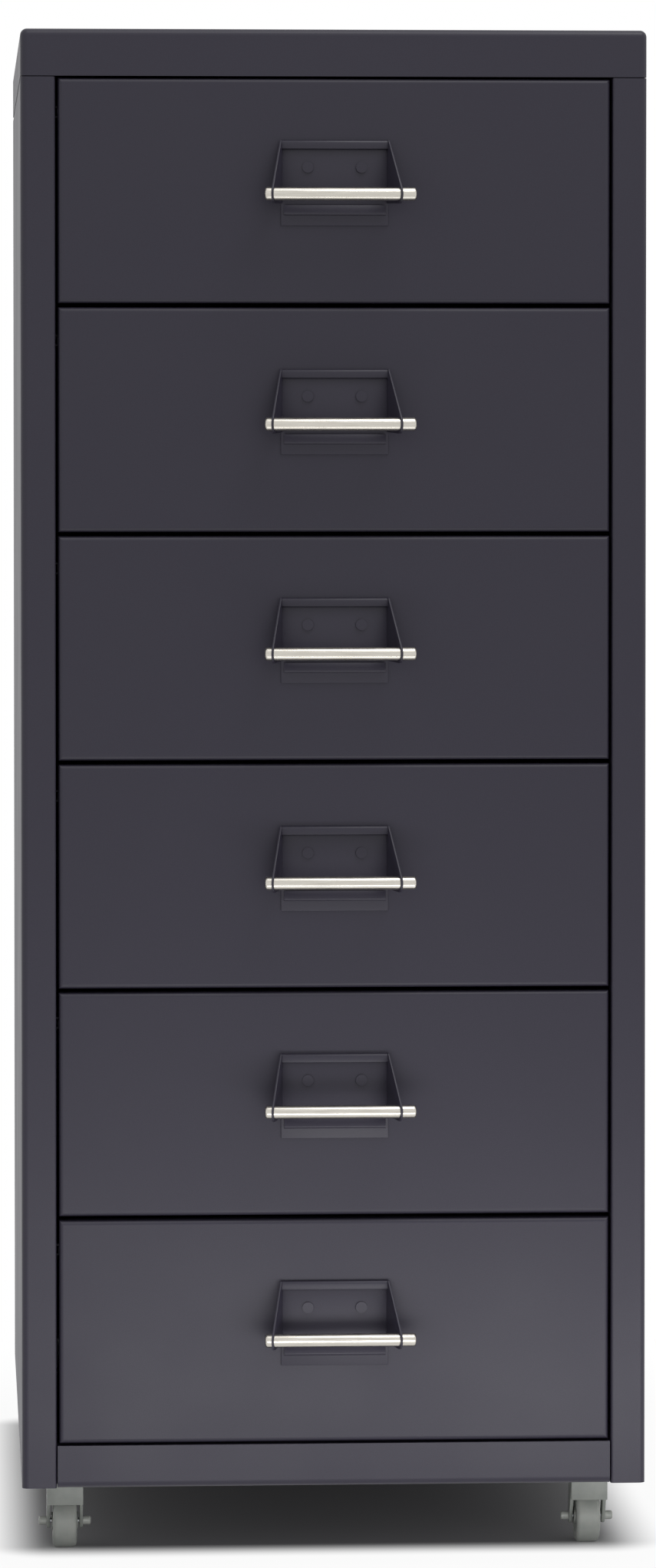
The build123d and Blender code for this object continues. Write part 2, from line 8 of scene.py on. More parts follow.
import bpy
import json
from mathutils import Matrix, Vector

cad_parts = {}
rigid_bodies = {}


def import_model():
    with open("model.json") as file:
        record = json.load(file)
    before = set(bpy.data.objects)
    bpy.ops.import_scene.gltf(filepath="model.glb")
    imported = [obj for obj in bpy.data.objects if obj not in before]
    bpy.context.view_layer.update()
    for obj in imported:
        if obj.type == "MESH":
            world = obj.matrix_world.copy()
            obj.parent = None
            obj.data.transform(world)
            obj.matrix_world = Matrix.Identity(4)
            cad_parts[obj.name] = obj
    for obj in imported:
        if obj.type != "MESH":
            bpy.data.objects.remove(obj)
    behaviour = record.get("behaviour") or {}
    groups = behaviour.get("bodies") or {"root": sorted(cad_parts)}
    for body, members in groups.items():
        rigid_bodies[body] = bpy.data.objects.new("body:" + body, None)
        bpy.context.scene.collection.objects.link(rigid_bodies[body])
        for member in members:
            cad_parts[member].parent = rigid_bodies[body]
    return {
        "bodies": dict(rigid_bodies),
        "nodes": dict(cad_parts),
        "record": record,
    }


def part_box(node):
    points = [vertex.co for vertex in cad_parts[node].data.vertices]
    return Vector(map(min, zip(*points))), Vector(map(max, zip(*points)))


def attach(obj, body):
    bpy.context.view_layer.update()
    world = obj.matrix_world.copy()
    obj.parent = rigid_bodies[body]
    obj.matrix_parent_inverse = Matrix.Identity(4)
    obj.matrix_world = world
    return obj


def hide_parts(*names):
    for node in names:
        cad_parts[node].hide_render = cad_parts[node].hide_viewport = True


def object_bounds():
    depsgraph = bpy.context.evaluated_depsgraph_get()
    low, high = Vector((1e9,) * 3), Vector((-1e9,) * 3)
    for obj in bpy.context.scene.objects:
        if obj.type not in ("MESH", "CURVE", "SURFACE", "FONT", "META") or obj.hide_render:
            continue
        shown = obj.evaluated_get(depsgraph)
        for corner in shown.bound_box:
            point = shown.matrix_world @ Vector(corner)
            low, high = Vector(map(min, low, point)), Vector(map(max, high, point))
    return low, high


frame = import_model()
frame_low, frame_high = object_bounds()
nodes = frame["nodes"]
print("pieces in the frame:", len(nodes))

# %% The tools of the lesson
import json
import math

import bmesh
import bpy
from mathutils import Euler, Matrix, Vector

MM = 0.001  # one millimetre, because every length in the scene is in metres
behaviour = frame["record"]["behaviour"]
body_of_node = {name: body for body, names in behaviour["bodies"].items() for name in names}
print("frame", [round(side / MM) for side in frame_high - frame_low], "mm")

# %% [markdown]
# ## The camera
# The picture was taken from a little left of the cabinet and from the height of its upper drawers, with
# the back of the camera almost parallel to the drawer fronts, so that upright edges stay almost upright.
# A plain tilt down to the middle of the cabinet would make those edges lean. A shift lens looks down
# without one, so half of the offset in height is shift. The offset to the side is small enough for a
# plain turn.

# %% Place the camera
PHOTO_WIDTH = 855
PHOTO_HEIGHT = 2043
PHOTO_TOP_EDGE = 44.5  # pixel row of the cabinet's upper edge
PHOTO_DRAWER_MIDDLE = 436.0  # pixel column of the middle of the drawers
MM_PER_PIXEL = 0.3447  # on the plane of the drawer fronts
SENSOR = 36.0  # millimetres along the long side of the picture
CAMERA_DISTANCE = 2.8  # metres in front of the drawer fronts
CAMERA_SIDE = -0.165  # metres to the right of the middle
CAMERA_HEIGHT = 0.52  # metres above the floor
SHIFT = -0.12  # upwards, in shares of the long side of the picture
LEAN_TRIM = 1.0075  # the fronts lean back a little in the picture, which draws them that much smaller

front_low, front_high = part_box("drawer_1_front")
front_plane = front_low.y
aim = Vector((
    (PHOTO_WIDTH / 2 - PHOTO_DRAWER_MIDDLE) * MM_PER_PIXEL * MM,
    front_plane,
    frame_high.z - (PHOTO_HEIGHT / 2 - PHOTO_TOP_EDGE) * MM_PER_PIXEL * MM,
))
eye = Vector((CAMERA_SIDE, front_plane - CAMERA_DISTANCE, CAMERA_HEIGHT))
shown_height = PHOTO_HEIGHT * MM_PER_PIXEL * MM
lens = LEAN_TRIM * SENSOR * CAMERA_DISTANCE / shown_height
line = aim - eye
turn = math.atan2(line.x, line.y)
tilt = math.atan2(line.z, math.hypot(line.x, line.y)) - math.atan(SHIFT * SENSOR / lens)

camera_data = bpy.data.cameras.new("camera")
camera_data.sensor_width = SENSOR
camera_data.lens = lens
camera_data.shift_y = SHIFT
camera = bpy.data.objects.new("camera", camera_data)
bpy.context.scene.collection.objects.link(camera)
camera.location = eye
camera.rotation_euler = Euler((math.pi / 2 + tilt, 0.0, -turn))
bpy.context.scene.camera = camera
print("lens", round(lens, 1), "mm, turn", round(math.degrees(turn), 2), end=", ")
print("tilt", round(math.degrees(tilt), 2))

# %% [markdown]
# ## Colours and nodes
# Two helpers serve every material. One turns the hex value that a paint card would give into the linear
# light that the renderer works in. The other adds one node with its settings and links, so that a material
# reads as a short list of what is in it. All patterns read object coordinates, in metres, so a grain of
# one millimetre is one millimetre on every piece.


# %% Helpers for materials
def colour(hex_value):
    """Linear RGBA of an sRGB hex value."""
    channels = [int(hex_value[place:place + 2], 16) / 255 for place in (1, 3, 5)]
    return tuple(c / 12.92 if c <= 0.04045 else ((c + 0.055) / 1.055) ** 2.4 for c in channels) + (1.0,)


def add(tree, kind, sockets=None, **settings):
    """Adds a node. Settings are its properties, and sockets hold a value or the socket to link from."""
    node = tree.nodes.new(kind)
    for name, value in settings.items():
        setattr(node, name, value)
    for name, value in (sockets or {}).items():
        if isinstance(value, bpy.types.NodeSocket):
            tree.links.new(value, node.inputs[name])
        else:
            node.inputs[name].default_value = value
    return node


def blank_material(name):
    """A new material with only a Principled shader, and its node tree."""
    material = bpy.data.materials.new(name)
    material.use_nodes = True
    tree = material.node_tree
    tree.nodes.clear()
    shader = add(tree, "ShaderNodeBsdfPrincipled")
    add(tree, "ShaderNodeOutputMaterial", {"Surface": shader.outputs["BSDF"]})
    return material, tree, shader


def grain(tree, size, detail=2.0, roughness=0.5, stretch=(1.0, 1.0, 1.0)):
    """Noise whose grains are about a real size across, in metres, stretched along the axes."""
    place = add(tree, "ShaderNodeTexCoord")
    mapping = add(tree, "ShaderNodeMapping", {"Vector": place.outputs["Object"], "Scale": stretch})
    sockets = {
        "Vector": mapping.outputs["Vector"], "Scale": 1.0 / size,
        "Detail": detail, "Roughness": roughness,
    }
    return add(tree, "ShaderNodeTexNoise", sockets)


def between(tree, noise, low, high):
    """The middle of a noise's range, spread over the values from low to high."""
    value = noise.outputs["Fac"]
    sockets = {"Value": value, "From Min": 0.3, "From Max": 0.7, "To Min": low, "To Max": high}
    return add(tree, "ShaderNodeMapRange", sockets).outputs["Result"]


MIX_FIRST = 6  # a Mix node's colour sockets share their names with others, so they go by number
MIX_SECOND = 7
MIX_RESULT = 2


def tint(tree, noise, first, second):
    """Colour that goes from one hex value to another with a noise."""
    share = between(tree, noise, 0.0, 1.0)
    sockets = {"Factor": share, MIX_FIRST: colour(first), MIX_SECOND: colour(second)}
    return add(tree, "ShaderNodeMix", sockets, data_type="RGBA").outputs[MIX_RESULT]


# %% [markdown]
# ## Powder coat
# Powder is sprayed on dry and baked, so it flows together into a satin skin with a fine orange peel, about
# a millimetre from crest to crest. What gives it away is not its colour but how the edges of a highlight
# break up. The coat is almost black with a violet cast: much of the grey that the eye sees is the sheen of
# the studio on it. In the colour lie grains about half a millimetre across, a shade lighter.


# %% Make the powder coats
def powder_coat(name, dark, light, roughness):
    """Satin powder coat over steel."""
    material, tree, shader = blank_material(name)
    specks = grain(tree, 0.45 * MM, detail=1.0)
    clouds = grain(tree, 60 * MM, detail=3.0)
    peel = grain(tree, 1.3 * MM, detail=2.0, roughness=0.4)
    tree.links.new(tint(tree, specks, dark, light), shader.inputs["Base Color"])
    tree.links.new(between(tree, clouds, roughness - 0.03, roughness + 0.03), shader.inputs["Roughness"])
    sockets = {"Height": peel.outputs["Fac"], "Strength": 0.35, "Distance": 0.03 * MM}
    bump = add(tree, "ShaderNodeBump", sockets)
    tree.links.new(bump.outputs["Normal"], shader.inputs["Normal"])
    shader.inputs["IOR"].default_value = 1.45
    return material


carcass_coat = powder_coat("satin_powder_coat_carcass", "#2e2b39", "#34313f", 0.46)
drawer_coat = powder_coat("satin_powder_coat_drawers", "#2d2a38", "#33303e", 0.46)
holder_coat = powder_coat("satin_powder_coat_holders", "#2f2c3a", "#353240", 0.42)
print("powder coats:", carcass_coat.name, drawer_coat.name, holder_coat.name)

# %% [markdown]
# ## Metals
# The pulls are steel rod with a satin nickel plate: the rod was brushed along its length first, so the
# scratches run lengthwise and the highlight is a long soft line. The screws, stems and axles are zinc
# plated, which is bluer, duller and slightly blotchy.


# %% Make the metals
def satin_nickel():
    """Nickel plate over a rod that was brushed lengthwise."""
    material, tree, shader = blank_material("satin_nickel_brushed")
    scratches = grain(tree, 0.35 * MM, detail=3.0, stretch=(0.03, 1.0, 1.0))
    tree.links.new(tint(tree, scratches, "#c0bbb1", "#d3cfc7"), shader.inputs["Base Color"])
    tree.links.new(between(tree, scratches, 0.20, 0.32), shader.inputs["Roughness"])
    sockets = {"Height": scratches.outputs["Fac"], "Strength": 0.2, "Distance": 0.01 * MM}
    bump = add(tree, "ShaderNodeBump", sockets)
    tree.links.new(bump.outputs["Normal"], shader.inputs["Normal"])
    shader.inputs["Metallic"].default_value = 1.0
    return material


def zinc_plate():
    """Bright zinc plate, slightly blotchy from its bath."""
    material, tree, shader = blank_material("bright_zinc_plate")
    blotches = grain(tree, 2.5 * MM, detail=4.0)
    tree.links.new(tint(tree, blotches, "#aeb2b8", "#c6c8ca"), shader.inputs["Base Color"])
    tree.links.new(between(tree, blotches, 0.28, 0.44), shader.inputs["Roughness"])
    sockets = {"Height": blotches.outputs["Fac"], "Strength": 0.1, "Distance": 0.02 * MM}
    bump = add(tree, "ShaderNodeBump", sockets)
    tree.links.new(bump.outputs["Normal"], shader.inputs["Normal"])
    shader.inputs["Metallic"].default_value = 1.0
    return material


nickel = satin_nickel()
zinc = zinc_plate()
print("metals:", nickel.name, zinc.name)

# %% [markdown]
# ## Plastics
# The casters are moulded from undyed nylon: light grey, faintly green, and a little translucent, so light
# softens inside the thin arms. The mould was spark eroded, which leaves a fine even texture. The wheel
# is a harder, denser grade, and its tread is slightly dulled by the floor.


# %% Make the plastics
def moulded_nylon(name, dark, light, roughness, glow_depth):
    """Light moulded nylon with a fine eroded texture."""
    material, tree, shader = blank_material(name)
    flow = grain(tree, 6 * MM, detail=2.0)
    texture = grain(tree, 0.5 * MM, detail=2.0)
    tree.links.new(tint(tree, flow, dark, light), shader.inputs["Base Color"])
    tree.links.new(between(tree, texture, roughness - 0.05, roughness + 0.05), shader.inputs["Roughness"])
    sockets = {"Height": texture.outputs["Fac"], "Strength": 0.25, "Distance": 0.03 * MM}
    bump = add(tree, "ShaderNodeBump", sockets)
    tree.links.new(bump.outputs["Normal"], shader.inputs["Normal"])
    shader.inputs["IOR"].default_value = 1.53
    shader.inputs["Subsurface Weight"].default_value = 0.25
    shader.inputs["Subsurface Radius"].default_value = (1.0, 1.0, 0.9)
    shader.inputs["Subsurface Scale"].default_value = glow_depth
    return material


fork_nylon = moulded_nylon("moulded_nylon_fork", "#9da19c", "#a9ada7", 0.42, 1.5 * MM)
cap_nylon = moulded_nylon("moulded_nylon_cap", "#b8bbb5", "#c4c7c1", 0.38, 1.5 * MM)
wheel_nylon = moulded_nylon("moulded_nylon_wheel", "#a9ada8", "#b6b9b3", 0.50, 0.8 * MM)
print("plastics:", fork_nylon.name, cap_nylon.name, wheel_nylon.name)

# %% [markdown]
# ## Which piece has which finish
# The frame names a finish for each node, such as carcass paint or bar metal. Each of those names gets one
# material here, and every node of the frame gets the material of its name. New pieces below take theirs
# from the same list.

# %% Give each node its material
MATERIAL_OF_SLOT = {
    "carcass_paint": carcass_coat,
    "drawer_paint": drawer_coat,
    "holder_paint": holder_coat,
    "rivet_paint": holder_coat,
    "runner_steel": carcass_coat,
    "bar_metal": nickel,
    "zinc_steel": zinc,
    "fork_plastic": fork_nylon,
    "cap_plastic": cap_nylon,
    "wheel_plastic": wheel_nylon,
}
slot_of_node = {}
for name, node in nodes.items():
    slot_name = node.material_slots[0].material.name.split(".")[0]
    slot_of_node[name] = slot_name
    for material_slot in node.material_slots:
        material_slot.material = MATERIAL_OF_SLOT[slot_name]
print("finishes in use:", sorted(set(slot_of_node.values())))

# %% [markdown]
# ## Making a piece
# A new piece starts as a bmesh, Blender's editable mesh. Seams and poles are merged, the normals are turned
# outwards, and the faces are shaded smooth except across real edges. Then it takes the body and the finish
# of the node that it stands for, and that node is hidden.


# %% Helpers for pieces
SHARP_ANGLE = math.radians(35)


def finish_piece(name, mesh_data, node):
    """Turns a bmesh into a piece that stands for a node of the frame."""
    bmesh.ops.remove_doubles(mesh_data, verts=mesh_data.verts, dist=0.001 * MM)
    bmesh.ops.recalc_face_normals(mesh_data, faces=mesh_data.faces)
    for face in mesh_data.faces:
        face.smooth = True
    for edge in mesh_data.edges:
        edge.smooth = edge.calc_face_angle(0.0) < SHARP_ANGLE
    mesh = bpy.data.meshes.new(name)
    mesh_data.to_mesh(mesh)
    mesh_data.free()
    piece = bpy.data.objects.new(name, mesh)
    bpy.context.scene.collection.objects.link(piece)
    piece.data.materials.append(MATERIAL_OF_SLOT[slot_of_node[node]])
    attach(piece, body_of_node[node])
    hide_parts(node)
    return piece


def chain(mesh_data, points):
    """Vertices joined by edges, one after the other."""
    verts = [mesh_data.verts.new(point) for point in points]
    for pair in zip(verts, verts[1:]):
        mesh_data.edges.new(pair)
    return verts


def rounded(mesh_data, verts, radius, steps):
    """Rounds corners of a chain, given the distance from the corner to where each curve starts."""
    bmesh.ops.bevel(
        mesh_data, geom=verts, offset=radius, offset_type="OFFSET", segments=steps, profile=0.5,
        affect="VERTICES", clamp_overlap=True, material=-1,
    )


def turned(mesh_data, centre, axis, steps):
    """Spins everything drawn so far a full turn."""
    bmesh.ops.spin(
        mesh_data, geom=mesh_data.verts[:] + mesh_data.edges[:], cent=centre, axis=axis,
        angle=2 * math.pi, steps=steps, use_merge=True, use_duplicate=False,
    )


print("edges are sharp past", round(math.degrees(SHARP_ANGLE)), "degrees")

# %% [markdown]
# ## The pulls
# Each pull is a length of round rod through the two arms of its label holder. A cylinder would do for the
# barrel, but its ends are rolled over, and a lathe is the natural way to make that: draw half of the
# outline once, round its corners, and spin it about the rod's own axis.

# %% Turn the six pulls
BAR_STEPS = 40
BAR_END_ROUND = 1.2 * MM
drawer_names = sorted(name for name in frame["bodies"] if name.startswith("drawer_"))


def turn_bar(node):
    """A rod along X with rolled ends."""
    low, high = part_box(node)
    middle = (low + high) / 2
    radius = (high.z - low.z) / 2
    mesh_data = bmesh.new()
    outline = [
        (low.x, middle.y, middle.z), (low.x, middle.y, middle.z + radius),
        (high.x, middle.y, middle.z + radius), (high.x, middle.y, middle.z),
    ]
    verts = chain(mesh_data, outline)
    rounded(mesh_data, verts[1:3], BAR_END_ROUND, 5)
    turned(mesh_data, middle, (1.0, 0.0, 0.0), BAR_STEPS)
    return mesh_data


for drawer in drawer_names:
    bar = finish_piece(f"{drawer}_pull", turn_bar(f"{drawer}_handle_bar"), f"{drawer}_handle_bar")
print(len(drawer_names), "pulls of", len(bar.data.polygons), "faces")

# %% [markdown]
# ## The wheels and the caps of the axles
# A caster wheel is turned too: a tread with rounded shoulders, a dished side that saves plastic, and a hub
# that stands proud of the dish. The caps are little domes with a flat middle, pressed on the ends of the
# axle.

# %% Turn the wheels
WHEEL_STEPS = 64
WHEEL_SHOULDER = 2.0 * MM
WHEEL_RIM = 2.6 * MM
WHEEL_DISH = 1.4 * MM
HUB_RADIUS = 4.0 * MM
HUB_HEIGHT = 0.5 * MM
AXLE_RADIUS = 1.25 * MM
SMALL_ROUND = 0.35 * MM
caster_names = sorted(name for name in frame["bodies"] if name.endswith("_caster"))


def turn_wheel(node):
    """Wheel about an axle along X, open in the middle for the pin."""
    low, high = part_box(node)
    middle = (low + high) / 2
    radius = (high.z - low.z) / 2
    reach = (high.x - low.x) / 2
    half = reach - HUB_HEIGHT
    dish_radius = radius - WHEEL_SHOULDER - WHEEL_RIM
    side = [
        (reach, AXLE_RADIUS), (reach, HUB_RADIUS), (half - WHEEL_DISH, HUB_RADIUS),
        (half - WHEEL_DISH, dish_radius), (half, dish_radius), (half, radius),
    ]
    outline = side + [(-x, r) for x, r in reversed(side)]
    mesh_data = bmesh.new()
    verts = chain(mesh_data, [(middle.x + x, middle.y, middle.z + r) for x, r in outline])
    mesh_data.edges.new((verts[-1], verts[0]))
    shoulders = [verts[5], verts[6]]
    others = [vert for vert in verts[1:-1] if vert not in shoulders]
    rounded(mesh_data, shoulders, WHEEL_SHOULDER, 6)
    rounded(mesh_data, others, SMALL_ROUND, 3)
    turned(mesh_data, middle, (1.0, 0.0, 0.0), WHEEL_STEPS)
    return mesh_data


for caster in caster_names:
    node = f"{caster}_wheel"
    wheel = finish_piece(f"{caster}_wheel_turned", turn_wheel(node), node)
print(len(caster_names), "wheels of", len(wheel.data.polygons), "faces")

# %% Turn the caps
CAP_STEPS = 32
CAP_ROUND = 0.9 * MM
CAP_LENGTH = 3.7 * MM


def joined(parts):
    """Several bmeshes as one."""
    whole = bmesh.new()
    for part in parts:
        part_mesh = bpy.data.meshes.new("part")
        part.to_mesh(part_mesh)
        part.free()
        whole.from_mesh(part_mesh)
        bpy.data.meshes.remove(part_mesh)
    return whole


def turn_caps(node):
    """Two domed caps that face away from each other."""
    low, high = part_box(node)
    middle = (low + high) / 2
    radius = (high.z - low.z) / 2
    caps = []
    for end, inwards in ((low.x, 1), (high.x, -1)):
        seat = end + inwards * CAP_LENGTH
        cap = bmesh.new()
        outline = [
            (seat, middle.y, middle.z), (seat, middle.y, middle.z + radius),
            (end, middle.y, middle.z + radius), (end, middle.y, middle.z),
        ]
        verts = chain(cap, outline)
        rounded(cap, [verts[2]], CAP_ROUND, 6)
        turned(cap, middle, (1.0, 0.0, 0.0), CAP_STEPS)
        caps.append(cap)
    return joined(caps)


for caster in caster_names:
    node = f"{caster}_axle_caps"
    caps = finish_piece(f"{caster}_caps_turned", turn_caps(node), node)
print(len(caster_names), "pairs of caps of", len(caps.data.polygons), "faces")

# %% [markdown]
# ## The forks
# A fork is one moulding: a thick round head that turns on the stem, two thin arms that reach back and down
# to the axle, and a web that ties them together in front of the wheel. Each arm is widest at the head and
# ends in a round eye, and no outline has to be worked out for that: the hull operator stretches a skin
# round the disc of the eye and the corners of the root. A moulding has no knife edges, so all of them are
# bevelled.

# %% Helpers for arms and webs
EYE_STEPS = 40
SOFT_STEPS = 2
FLAT_ANGLE = math.radians(1)  # faces that meet at less than this are made one


def soften(mesh_data, width):
    """Bevels the sharp edges of a solid."""
    bmesh.ops.recalc_face_normals(mesh_data, faces=mesh_data.faces)
    sharp = [edge for edge in mesh_data.edges if edge.calc_face_angle(0.0) > SHARP_ANGLE]
    bmesh.ops.bevel(
        mesh_data, geom=sharp, offset=width, offset_type="OFFSET", segments=SOFT_STEPS, profile=0.5,
        affect="EDGES", clamp_overlap=True, material=-1,
    )


def verts_of(items):
    """The vertices among the results of an operator."""
    return [item for item in items if isinstance(item, bmesh.types.BMVert)]


def eye_plate(face_axes, eye, radius, corners, push, edge):
    """Plate that runs from its corners into a round eye. The first two axes lie in its face."""
    part = bmesh.new()
    place = Matrix.Translation(eye) @ Matrix(face_axes).transposed().to_4x4()
    bmesh.ops.create_circle(part, radius=radius, segments=EYE_STEPS, matrix=place)
    for corner in corners:
        part.verts.new(corner)
    twin = bmesh.ops.duplicate(part, geom=part.verts[:])["geom"]
    bmesh.ops.translate(part, verts=verts_of(twin), vec=push)
    hull = bmesh.ops.convex_hull(part, input=part.verts[:], use_existing_faces=False)
    bmesh.ops.delete(part, geom=verts_of(hull["geom_interior"]), context="VERTS")
    bmesh.ops.dissolve_limit(part, angle_limit=FLAT_ANGLE, verts=part.verts, edges=part.edges)
    soften(part, edge)
    return part


def slab(low, high, edge):
    """Rectangular block between two corners, with softened edges."""
    part = bmesh.new()
    place = Matrix.Translation((low + high) / 2) @ Matrix.Diagonal((*(high - low), 1.0))
    bmesh.ops.create_cube(part, size=1.0, matrix=place)
    soften(part, edge)
    return part


print("eyes have", EYE_STEPS, "steps, soft edges", SOFT_STEPS)

# %% Turn a fork's head and cut its arms
FORK_HEAD_HEIGHT = 6.0 * MM
FORK_HEAD_ROUND = 1.0 * MM
FORK_HEAD_RADIUS = 11.0 * MM
FORK_HEAD_STEPS = 64
FORK_STEM_HOLE = 4.05 * MM
FORK_ARM = 1.6 * MM
FORK_REACH = 8.3 * MM  # middle of the fork to the outside of an arm
FORK_EYE = 3.4 * MM
FORK_ROOT = 6.7 * MM  # half of an arm's root, front to back
FORK_SOFT_EDGE = 0.3 * MM


def fork_head(stem, low_z, high_z):
    """Thick ring about the stem, with rounded outer edges."""
    head = bmesh.new()
    ring = [
        (FORK_STEM_HOLE, low_z), (FORK_HEAD_RADIUS, low_z),
        (FORK_HEAD_RADIUS, high_z), (FORK_STEM_HOLE, high_z),
    ]
    verts = chain(head, [(stem.x + r, stem.y, z) for r, z in ring])
    head.edges.new((verts[-1], verts[0]))
    rounded(head, verts[1:3], FORK_HEAD_ROUND, 6)
    turned(head, stem, (0.0, 0.0, 1.0), FORK_HEAD_STEPS)
    return head


def fork_arm(side, stem, axle, root_z):
    """Left (-1) or right (1) arm, from the head down to its eye about the axle."""
    outside = stem.x + side * FORK_REACH
    corners = [(outside, stem.y - FORK_ROOT, root_z), (outside, stem.y + FORK_ROOT, root_z)]
    eye = Vector((outside, axle.y, axle.z))
    axes = ((0.0, 1.0, 0.0), (0.0, 0.0, 1.0), (1.0, 0.0, 0.0))
    push = (-side * FORK_ARM, 0.0, 0.0)
    return eye_plate(axes, eye, FORK_EYE, corners, push, FORK_SOFT_EDGE)


print("fork", round(2 * FORK_REACH / MM, 1), "mm across its arms")

# %% Mould the forks
FORK_WEB = Vector((0.0, 1.4, 10.0)) * MM  # its thickness along Y and its height


def mould_fork(node, wheel_node, stem):
    """Head, arms and web of one fork."""
    _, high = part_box(node)
    wheel_low, wheel_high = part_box(wheel_node)
    axle = (wheel_low + wheel_high) / 2
    head_low_z = high.z - FORK_HEAD_HEIGHT
    root_z = head_low_z + FORK_HEAD_ROUND
    web_low = Vector((stem.x - FORK_REACH, stem.y - FORK_ROOT, root_z - FORK_WEB.z))
    web_high = Vector((stem.x + FORK_REACH, stem.y - FORK_ROOT + FORK_WEB.y, root_z))
    return joined([
        fork_head(stem, head_low_z, high.z),
        fork_arm(-1, stem, axle, root_z),
        fork_arm(1, stem, axle, root_z),
        slab(web_low, web_high, FORK_SOFT_EDGE),
    ])


joint_of_body = {joint["child"]: joint for joint in behaviour["joints"]}
for caster in caster_names:
    node = f"{caster}_fork"
    stem = Vector(joint_of_body[caster]["pos_m"])
    fork = finish_piece(f"{caster}_fork_moulded", mould_fork(node, f"{caster}_wheel", stem), node)
print(len(caster_names), "forks of", len(fork.data.polygons), "faces")

# %% [markdown]
# ## The label holders
# Each holder is one blank of thin sheet: a back plate, a narrow lip folded down along its top, a second lip
# near its foot that the label card stands in, and at each side an arm that leans outwards and carries the
# pull. Cut sheet is never quite sharp after it has been tumbled and coated, and the fine bright line that
# a softened edge draws is most of what shows of so dark a piece. Lips are drawn as the outline of their
# end and pushed across, and the arms use the same hull as the forks.

# %% Fold the two lips of a label holder
HOLDER_SHEET = 0.9 * MM
HOLDER_FOLD = 1.3 * MM
HOLDER_HALF = 24.0 * MM
HOLDER_SOFT_EDGE = 0.2 * MM
TOP_LIP = Vector((2.6, 3.8)) * MM  # how far it stands out, and how far down it reaches
FOOT_LIP = Vector((3.6, 4.5)) * MM
FOOT_LIP_RISE = 4.6 * MM
FOOT_LIP_HALF = 22.75 * MM
FOOT_LIP_LEAN = 1.0 * MM
FOOT_LIP_CORNER = 1.2 * HOLDER_SHEET  # from its outer corner back to the inner one, because it leans


def folded_lip(outline, half):
    """Strip with one fold. The second corner of its end is outside the fold, the fifth inside."""
    part = bmesh.new()
    verts = [part.verts.new((-half, y, z)) for y, z in outline]
    part.faces.new(verts)
    rounded(part, [verts[1]], HOLDER_FOLD, 5)
    rounded(part, [verts[4]], HOLDER_FOLD - HOLDER_SHEET, 3)
    grown = bmesh.ops.extrude_face_region(part, geom=part.faces[:])["geom"]
    bmesh.ops.translate(part, verts=verts_of(grown), vec=(2 * half, 0.0, 0.0))
    soften(part, HOLDER_SOFT_EDGE)
    return part


def top_lip(back, top):
    """Lip that is folded down along the top of the plate."""
    edge = back - TOP_LIP.x
    inside = edge + HOLDER_SHEET
    outline = [
        (back, top), (edge, top), (edge, top - TOP_LIP.y), (inside, top - TOP_LIP.y),
        (inside, top - HOLDER_SHEET), (back, top - HOLDER_SHEET),
    ]
    return folded_lip(outline, HOLDER_HALF)


def foot_lip(back, low_z):
    """Lip that the card stands in. Its upper edge leans back towards the drawer."""
    foot = back - FOOT_LIP.x
    tip = foot + FOOT_LIP_LEAN
    ledge_z = low_z + FOOT_LIP_RISE
    tip_z = ledge_z + FOOT_LIP.y
    outline = [
        (back, ledge_z), (foot, ledge_z), (tip, tip_z), (tip + HOLDER_SHEET, tip_z),
        (foot + FOOT_LIP_CORNER, ledge_z + HOLDER_SHEET), (back, ledge_z + HOLDER_SHEET),
    ]
    return folded_lip(outline, FOOT_LIP_HALF)


print("lips of", round(HOLDER_SHEET / MM, 1), "mm sheet")

# %% Fold the label holders
ARM_LEAN = math.radians(14.0)
ARM_ROOT = 28.0 * MM
ARM_EYE = 4.2 * MM
PULL_STAND_OFF = 17.5 * MM
UP = Vector((0.0, 0.0, 1.0))


def holder_arm(side, back, top, bar_z):
    """Left (-1) or right (1) arm: it leans outwards and runs into a round eye about the pull."""
    forwards = Vector((side * math.sin(ARM_LEAN), -math.cos(ARM_LEAN), 0.0))
    inwards = Vector((-side * math.cos(ARM_LEAN), -math.sin(ARM_LEAN), 0.0))
    root = Vector((side * HOLDER_HALF, back, 0.0))
    top_corner = root + UP * top
    corners = [top_corner, root + UP * (top - ARM_ROOT), top_corner + forwards * TOP_LIP.x]
    eye = root + forwards * (PULL_STAND_OFF / math.cos(ARM_LEAN)) + UP * bar_z
    axes = (forwards, UP, forwards.cross(UP))
    return eye_plate(axes, eye, ARM_EYE, corners, inwards * HOLDER_SHEET, HOLDER_SOFT_EDGE)


def fold_holder(node, bar_node):
    """Back plate, two lips and two arms of one label holder."""
    low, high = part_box(node)
    bar_low, bar_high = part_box(bar_node)
    bar_z = (bar_low.z + bar_high.z) / 2
    plate_low = Vector((-HOLDER_HALF, high.y - HOLDER_SHEET, low.z))
    plate_high = Vector((HOLDER_HALF, high.y, high.z))
    return joined([
        slab(plate_low, plate_high, HOLDER_SOFT_EDGE),
        top_lip(high.y, high.z),
        foot_lip(high.y, low.z),
        holder_arm(-1, high.y, high.z, bar_z),
        holder_arm(1, high.y, high.z, bar_z),
    ])


for drawer in drawer_names:
    node = f"{drawer}_label_holder"
    holder = finish_piece(f"{drawer}_holder_folded", fold_holder(node, f"{drawer}_handle_bar"), node)
print(len(drawer_names), "label holders of", len(holder.data.polygons), "faces")

# %% [markdown]
# ## The floor and the light
# The studio is plain: a white floor that runs back into a white ground, the even light of a white room, a
# large soft box that hangs above and in front, and a weak one close to the floor that brings the rail and
# the casters out. The floor under the cabinet is a pale grey paint, so it holds the shadow. Further out it
# turns to plain white for the camera and in reflections only, so the object is lit as by the grey paint.

# %% Lay the floor
FLOOR_HALF = 4.0  # metres
FLOOR_PAINT = "#cdcdce"
SHADOW_MIDDLE = Vector((0.0, 0.045, 0.0))  # of the dark patch under the cabinet, behind the front wheels
SHADOW_HALF = Vector((0.125, 0.170, 0.0))
